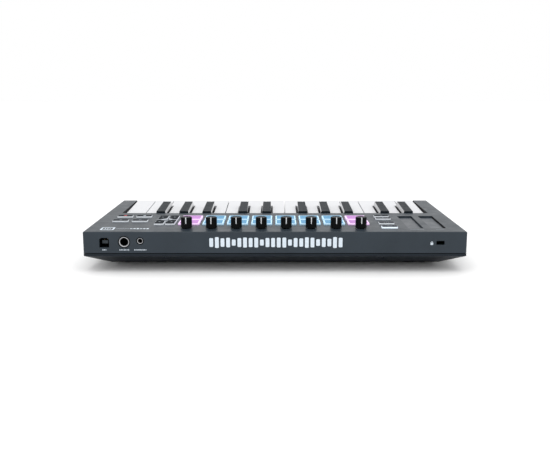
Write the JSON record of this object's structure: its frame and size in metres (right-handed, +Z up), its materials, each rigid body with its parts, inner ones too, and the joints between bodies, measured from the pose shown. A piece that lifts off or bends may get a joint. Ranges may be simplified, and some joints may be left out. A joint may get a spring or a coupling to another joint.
{
  "type": "keyboard synthesizer controller",
  "caption": "Compact mini-key keyboard controller with a pad grid, turning knobs, two touch strips, push buttons and rear sockets, in a shallow hull-shaped plastic case on rubber feet.",
  "frame": {"origin": "under the middle of the case, on the surface that the feet stand on", "axes": "+X to the player's right, along the keys; +Y from the player to the rear wall with the sockets; +Z up"},
  "size_m": [0.3316, 0.172, 0.0455],
  "materials": {
    "panel_plastic": "fine-grained satin grey",
    "hull_plastic": "fine-grained dark grey",
    "key_white": "satin gloss white",
    "key_black": "fine satin black",
    "knob_plastic": "satin black",
    "button_plastic": "dark silicone with a pale translucent rim",
    "pad_silicone": "translucent silicone, lit from below",
    "strip_plastic": "satin grey",
    "foot_rubber": "matt black",
    "contact_rubber": "matt grey",
    "board": "green solder mask",
    "frame_plastic": "moulded dark grey",
    "rod_steel": "ground steel",
    "socket_plastic": "black moulded plastic"
  },
  "bodies": {
    "chassis": {"upper_case": "panel_plastic", "lower_case": "hull_plastic", "foot_rear_left": "foot_rubber", "foot_front_left": "foot_rubber", "foot_rear_right": "foot_rubber", "foot_front_right": "foot_rubber", "key_hinge_rod": "rod_steel", "keybed_frame": "frame_plastic", "dome_strip": "contact_rubber", "main_board": "board", "pad_mat": "pad_silicone", "touch_strips": "strip_plastic", "usb_socket": "socket_plastic", "sustain_jack": "socket_plastic", "midi_jack": "socket_plastic"},
    "white_key_01": {"white_key_01": "key_white"},
    "white_key_02": {"white_key_02": "key_white"},
    "white_key_03": {"white_key_03": "key_white"},
    "white_key_04": {"white_key_04": "key_white"},
    "white_key_05": {"white_key_05": "key_white"},
    "white_key_06": {"white_key_06": "key_white"},
    "white_key_07": {"white_key_07": "key_white"},
    "white_key_08": {"white_key_08": "key_white"},
    "white_key_09": {"white_key_09": "key_white"},
    "white_key_10": {"white_key_10": "key_white"},
    "white_key_11": {"white_key_11": "key_white"},
    "white_key_12": {"white_key_12": "key_white"},
    "white_key_13": {"white_key_13": "key_white"},
    "white_key_14": {"white_key_14": "key_white"},
    "white_key_15": {"white_key_15": "key_white"},
    "black_key_01": {"black_key_01": "key_black"},
    "black_key_02": {"black_key_02": "key_black"},
    "black_key_03": {"black_key_03": "key_black"},
    "black_key_04": {"black_key_04": "key_black"},
    "black_key_05": {"black_key_05": "key_black"},
    "black_key_06": {"black_key_06": "key_black"},
    "black_key_07": {"black_key_07": "key_black"},
    "black_key_08": {"black_key_08": "key_black"},
    "black_key_09": {"black_key_09": "key_black"},
    "black_key_10": {"black_key_10": "key_black"},
    "knob_1": {"knob_1": "knob_plastic"},
    "knob_2": {"knob_2": "knob_plastic"},
    "knob_3": {"knob_3": "knob_plastic"},
    "knob_4": {"knob_4": "knob_plastic"},
    "knob_5": {"knob_5": "knob_plastic"},
    "knob_6": {"knob_6": "knob_plastic"},
    "knob_7": {"knob_7": "knob_plastic"},
    "knob_8": {"knob_8": "knob_plastic"},
    "shift_button": {"shift_button": "button_plastic"},
    "transpose_button": {"transpose_button": "button_plastic"},
    "octave_up_button": {"octave_up_button": "button_plastic"},
    "octave_down_button": {"octave_down_button": "button_plastic"},
    "page_left_button": {"page_left_button": "button_plastic"},
    "page_right_button": {"page_right_button": "button_plastic"},
    "play_button": {"play_button": "button_plastic"},
    "record_button": {"record_button": "button_plastic"},
    "nav_back_left": {"nav_back_left": "button_plastic"},
    "nav_back_right": {"nav_back_right": "button_plastic"},
    "nav_front_left": {"nav_front_left": "button_plastic"},
    "nav_front_right": {"nav_front_right": "button_plastic"}
  },
  "joints": [
    {"name": "white_key_01_press", "type": "hinge", "parent": "chassis", "child": "white_key_01", "pos_m": [0, 0.0045, 0.0265], "axis": [1, 0, 0], "range_deg": [0, 2.6], "stiffness_Nm_per_rad": 0.3, "springref_deg": -5.73},
    {"name": "white_key_02_press", "type": "hinge", "parent": "chassis", "child": "white_key_02", "pos_m": [0, 0.0045, 0.0265], "axis": [1, 0, 0], "range_deg": [0, 2.6], "stiffness_Nm_per_rad": 0.3, "springref_deg": -5.73},
    {"name": "white_key_03_press", "type": "hinge", "parent": "chassis", "child": "white_key_03", "pos_m": [0, 0.0045, 0.0265], "axis": [1, 0, 0], "range_deg": [0, 2.6], "stiffness_Nm_per_rad": 0.3, "springref_deg": -5.73},
    {"name": "white_key_04_press", "type": "hinge", "parent": "chassis", "child": "white_key_04", "pos_m": [0, 0.0045, 0.0265], "axis": [1, 0, 0], "range_deg": [0, 2.6], "stiffness_Nm_per_rad": 0.3, "springref_deg": -5.73},
    {"name": "white_key_05_press", "type": "hinge", "parent": "chassis", "child": "white_key_05", "pos_m": [0, 0.0045, 0.0265], "axis": [1, 0, 0], "range_deg": [0, 2.6], "stiffness_Nm_per_rad": 0.3, "springref_deg": -5.73},
    {"name": "white_key_06_press", "type": "hinge", "parent": "chassis", "child": "white_key_06", "pos_m": [0, 0.0045, 0.0265], "axis": [1, 0, 0], "range_deg": [0, 2.6], "stiffness_Nm_per_rad": 0.3, "springref_deg": -5.73},
    {"name": "white_key_07_press", "type": "hinge", "parent": "chassis", "child": "white_key_07", "pos_m": [0, 0.0045, 0.0265], "axis": [1, 0, 0], "range_deg": [0, 2.6], "stiffness_Nm_per_rad": 0.3, "springref_deg": -5.73},
    {"name": "white_key_08_press", "type": "hinge", "parent": "chassis", "child": "white_key_08", "pos_m": [0, 0.0045, 0.0265], "axis": [1, 0, 0], "range_deg": [0, 2.6], "stiffness_Nm_per_rad": 0.3, "springref_deg": -5.73},
    {"name": "white_key_09_press", "type": "hinge", "parent": "chassis", "child": "white_key_09", "pos_m": [0, 0.0045, 0.0265], "axis": [1, 0, 0], "range_deg": [0, 2.6], "stiffness_Nm_per_rad": 0.3, "springref_deg": -5.73},
    {"name": "white_key_10_press", "type": "hinge", "parent": "chassis", "child": "white_key_10", "pos_m": [0, 0.0045, 0.0265], "axis": [1, 0, 0], "range_deg": [0, 2.6], "stiffness_Nm_per_rad": 0.3, "springref_deg": -5.73},
    {"name": "white_key_11_press", "type": "hinge", "parent": "chassis", "child": "white_key_11", "pos_m": [0, 0.0045, 0.0265], "axis": [1, 0, 0], "range_deg": [0, 2.6], "stiffness_Nm_per_rad": 0.3, "springref_deg": -5.73},
    {"name": "white_key_12_press", "type": "hinge", "parent": "chassis", "child": "white_key_12", "pos_m": [0, 0.0045, 0.0265], "axis": [1, 0, 0], "range_deg": [0, 2.6], "stiffness_Nm_per_rad": 0.3, "springref_deg": -5.73},
    {"name": "white_key_13_press", "type": "hinge", "parent": "chassis", "child": "white_key_13", "pos_m": [0, 0.0045, 0.0265], "axis": [1, 0, 0], "range_deg": [0, 2.6], "stiffness_Nm_per_rad": 0.3, "springref_deg": -5.73},
    {"name": "white_key_14_press", "type": "hinge", "parent": "chassis", "child": "white_key_14", "pos_m": [0, 0.0045, 0.0265], "axis": [1, 0, 0], "range_deg": [0, 2.6], "stiffness_Nm_per_rad": 0.3, "springref_deg": -5.73},
    {"name": "white_key_15_press", "type": "hinge", "parent": "chassis", "child": "white_key_15", "pos_m": [0, 0.0045, 0.0265], "axis": [1, 0, 0], "range_deg": [0, 2.6], "stiffness_Nm_per_rad": 0.3, "springref_deg": -5.73},
    {"name": "black_key_01_press", "type": "hinge", "parent": "chassis", "child": "black_key_01", "pos_m": [0, 0.0045, 0.0265], "axis": [1, 0, 0], "range_deg": [0, 2.6], "stiffness_Nm_per_rad": 0.3, "springref_deg": -5.73},
    {"name": "black_key_02_press", "type": "hinge", "parent": "chassis", "child": "black_key_02", "pos_m": [0, 0.0045, 0.0265], "axis": [1, 0, 0], "range_deg": [0, 2.6], "stiffness_Nm_per_rad": 0.3, "springref_deg": -5.73},
    {"name": "black_key_03_press", "type": "hinge", "parent": "chassis", "child": "black_key_03", "pos_m": [0, 0.0045, 0.0265], "axis": [1, 0, 0], "range_deg": [0, 2.6], "stiffness_Nm_per_rad": 0.3, "springref_deg": -5.73},
    {"name": "black_key_04_press", "type": "hinge", "parent": "chassis", "child": "black_key_04", "pos_m": [0, 0.0045, 0.0265], "axis": [1, 0, 0], "range_deg": [0, 2.6], "stiffness_Nm_per_rad": 0.3, "springref_deg": -5.73},
    {"name": "black_key_05_press", "type": "hinge", "parent": "chassis", "child": "black_key_05", "pos_m": [0, 0.0045, 0.0265], "axis": [1, 0, 0], "range_deg": [0, 2.6], "stiffness_Nm_per_rad": 0.3, "springref_deg": -5.73},
    {"name": "black_key_06_press", "type": "hinge", "parent": "chassis", "child": "black_key_06", "pos_m": [0, 0.0045, 0.0265], "axis": [1, 0, 0], "range_deg": [0, 2.6], "stiffness_Nm_per_rad": 0.3, "springref_deg": -5.73},
    {"name": "black_key_07_press", "type": "hinge", "parent": "chassis", "child": "black_key_07", "pos_m": [0, 0.0045, 0.0265], "axis": [1, 0, 0], "range_deg": [0, 2.6], "stiffness_Nm_per_rad": 0.3, "springref_deg": -5.73},
    {"name": "black_key_08_press", "type": "hinge", "parent": "chassis", "child": "black_key_08", "pos_m": [0, 0.0045, 0.0265], "axis": [1, 0, 0], "range_deg": [0, 2.6], "stiffness_Nm_per_rad": 0.3, "springref_deg": -5.73},
    {"name": "black_key_09_press", "type": "hinge", "parent": "chassis", "child": "black_key_09", "pos_m": [0, 0.0045, 0.0265], "axis": [1, 0, 0], "range_deg": [0, 2.6], "stiffness_Nm_per_rad": 0.3, "springref_deg": -5.73},
    {"name": "black_key_10_press", "type": "hinge", "parent": "chassis", "child": "black_key_10", "pos_m": [0, 0.0045, 0.0265], "axis": [1, 0, 0], "range_deg": [0, 2.6], "stiffness_Nm_per_rad": 0.3, "springref_deg": -5.73},
    {"name": "knob_1_turn", "type": "hinge", "parent": "chassis", "child": "knob_1", "pos_m": [-0.0759, 0.0688, 0.0355], "axis": [0, 0, 1], "range_deg": [-150, 150]},
    {"name": "knob_2_turn", "type": "hinge", "parent": "chassis", "child": "knob_2", "pos_m": [-0.0539, 0.0688, 0.0355], "axis": [0, 0, 1], "range_deg": [-150, 150]},
    {"name": "knob_3_turn", "type": "hinge", "parent": "chassis", "child": "knob_3", "pos_m": [-0.0319, 0.0688, 0.0355], "axis": [0, 0, 1], "range_deg": [-150, 150]},
    {"name": "knob_4_turn", "type": "hinge", "parent": "chassis", "child": "knob_4", "pos_m": [-0.0099, 0.0688, 0.0355], "axis": [0, 0, 1], "range_deg": [-150, 150]},
    {"name": "knob_5_turn", "type": "hinge", "parent": "chassis", "child": "knob_5", "pos_m": [0.0121, 0.0688, 0.0355], "axis": [0, 0, 1], "range_deg": [-150, 150]},
    {"name": "knob_6_turn", "type": "hinge", "parent": "chassis", "child": "knob_6", "pos_m": [0.0341, 0.0688, 0.0355], "axis": [0, 0, 1], "range_deg": [-150, 150]},
    {"name": "knob_7_turn", "type": "hinge", "parent": "chassis", "child": "knob_7", "pos_m": [0.0561, 0.0688, 0.0355], "axis": [0, 0, 1], "range_deg": [-150, 150]},
    {"name": "knob_8_turn", "type": "hinge", "parent": "chassis", "child": "knob_8", "pos_m": [0.0781, 0.0688, 0.0355], "axis": [0, 0, 1], "range_deg": [-150, 150]},
    {"name": "shift_button_push", "type": "slide", "parent": "chassis", "child": "shift_button", "axis": [0, 0, -1], "range_m": [0, 0.0008], "stiffness_N_per_m": 600, "springref_m": -0.0002},
    {"name": "transpose_button_push", "type": "slide", "parent": "chassis", "child": "transpose_button", "axis": [0, 0, -1], "range_m": [0, 0.0008], "stiffness_N_per_m": 600, "springref_m": -0.0002},
    {"name": "octave_up_button_push", "type": "slide", "parent": "chassis", "child": "octave_up_button", "axis": [0, 0, -1], "range_m": [0, 0.0008], "stiffness_N_per_m": 600, "springref_m": -0.0002},
    {"name": "octave_down_button_push", "type": "slide", "parent": "chassis", "child": "octave_down_button", "axis": [0, 0, -1], "range_m": [0, 0.0008], "stiffness_N_per_m": 600, "springref_m": -0.0002},
    {"name": "page_left_button_push", "type": "slide", "parent": "chassis", "child": "page_left_button", "axis": [0, 0, -1], "range_m": [0, 0.0008], "stiffness_N_per_m": 600, "springref_m": -0.0002},
    {"name": "page_right_button_push", "type": "slide", "parent": "chassis", "child": "page_right_button", "axis": [0, 0, -1], "range_m": [0, 0.0008], "stiffness_N_per_m": 600, "springref_m": -0.0002},
    {"name": "play_button_push", "type": "slide", "parent": "chassis", "child": "play_button", "axis": [0, 0, -1], "range_m": [0, 0.0008], "stiffness_N_per_m": 600, "springref_m": -0.0002},
    {"name": "record_button_push", "type": "slide", "parent": "chassis", "child": "record_button", "axis": [0, 0, -1], "range_m": [0, 0.0008], "stiffness_N_per_m": 600, "springref_m": -0.0002},
    {"name": "nav_back_left_push", "type": "slide", "parent": "chassis", "child": "nav_back_left", "axis": [0, 0, -1], "range_m": [0, 0.0008], "stiffness_N_per_m": 600, "springref_m": -0.0002},
    {"name": "nav_back_right_push", "type": "slide", "parent": "chassis", "child": "nav_back_right", "axis": [0, 0, -1], "range_m": [0, 0.0008], "stiffness_N_per_m": 600, "springref_m": -0.0002},
    {"name": "nav_front_left_push", "type": "slide", "parent": "chassis", "child": "nav_front_left", "axis": [0, 0, -1], "range_m": [0, 0.0008], "stiffness_N_per_m": 600, "springref_m": -0.0002},
    {"name": "nav_front_right_push", "type": "slide", "parent": "chassis", "child": "nav_front_right", "axis": [0, 0, -1], "range_m": [0, 0.0008], "stiffness_N_per_m": 600, "springref_m": -0.0002}
  ]
}
